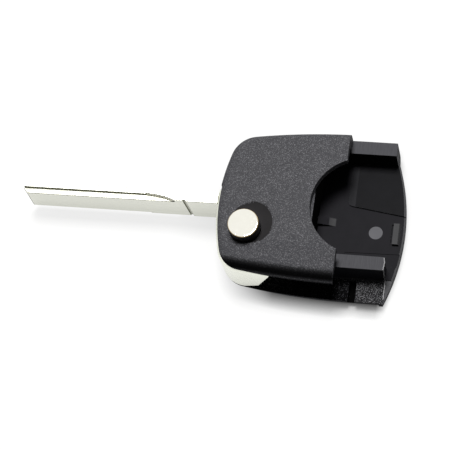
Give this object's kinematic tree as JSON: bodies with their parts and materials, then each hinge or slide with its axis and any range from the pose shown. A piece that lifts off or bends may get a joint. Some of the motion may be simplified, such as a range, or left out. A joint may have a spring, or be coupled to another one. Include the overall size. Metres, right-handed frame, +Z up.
{
  "type": "flip key remote shell",
  "caption": "Head half of a folding car key shell: a blade on a hub that folds round into the side of the case, a push button, and an open bay that takes the remote unit.",
  "frame": {"origin": "on the blade's pivot axis, level with the flat back of the case", "axes": "+X along the case from the open blade towards the remote bay, +Z up through the button, +Y to the closed side of the case"},
  "size_m": [0.0923, 0.0385, 0.0173],
  "materials": {
    "case_plastic": "fine moulded grain",
    "tray_plastic": "smooth moulded",
    "blade_metal": "bright nickel, milled",
    "hub_metal": "satin nickel over a casting",
    "pin_steel": "plain spring steel",
    "spring_steel": "drawn wire",
    "button_chrome": "bright plated",
    "plunger_steel": "sintered steel"
  },
  "bodies": {
    "case": {"upper_case": "case_plastic", "lower_case": "case_plastic", "chip_carrier": "tray_plastic"},
    "blade": {"blade_hub": "hub_metal", "key_blade": "blade_metal", "blade_roll_pin": "pin_steel", "flip_spring": "spring_steel"},
    "button": {"button_cap": "button_chrome", "lock_plunger": "plunger_steel"}
  },
  "joints": [
    {"name": "blade_flip", "type": "hinge", "parent": "case", "child": "blade", "pos_m": [0, 0, 0.008], "axis": [0, 0, 1], "range_deg": [0, 179.6]},
    {"name": "button_press", "type": "slide", "parent": "blade", "child": "button", "axis": [0, 0, -1], "range_m": [0, 0.0026], "stiffness_N_per_m": 650, "springref_m": -0.004, "deforming": ["flip_spring"]}
  ]
}
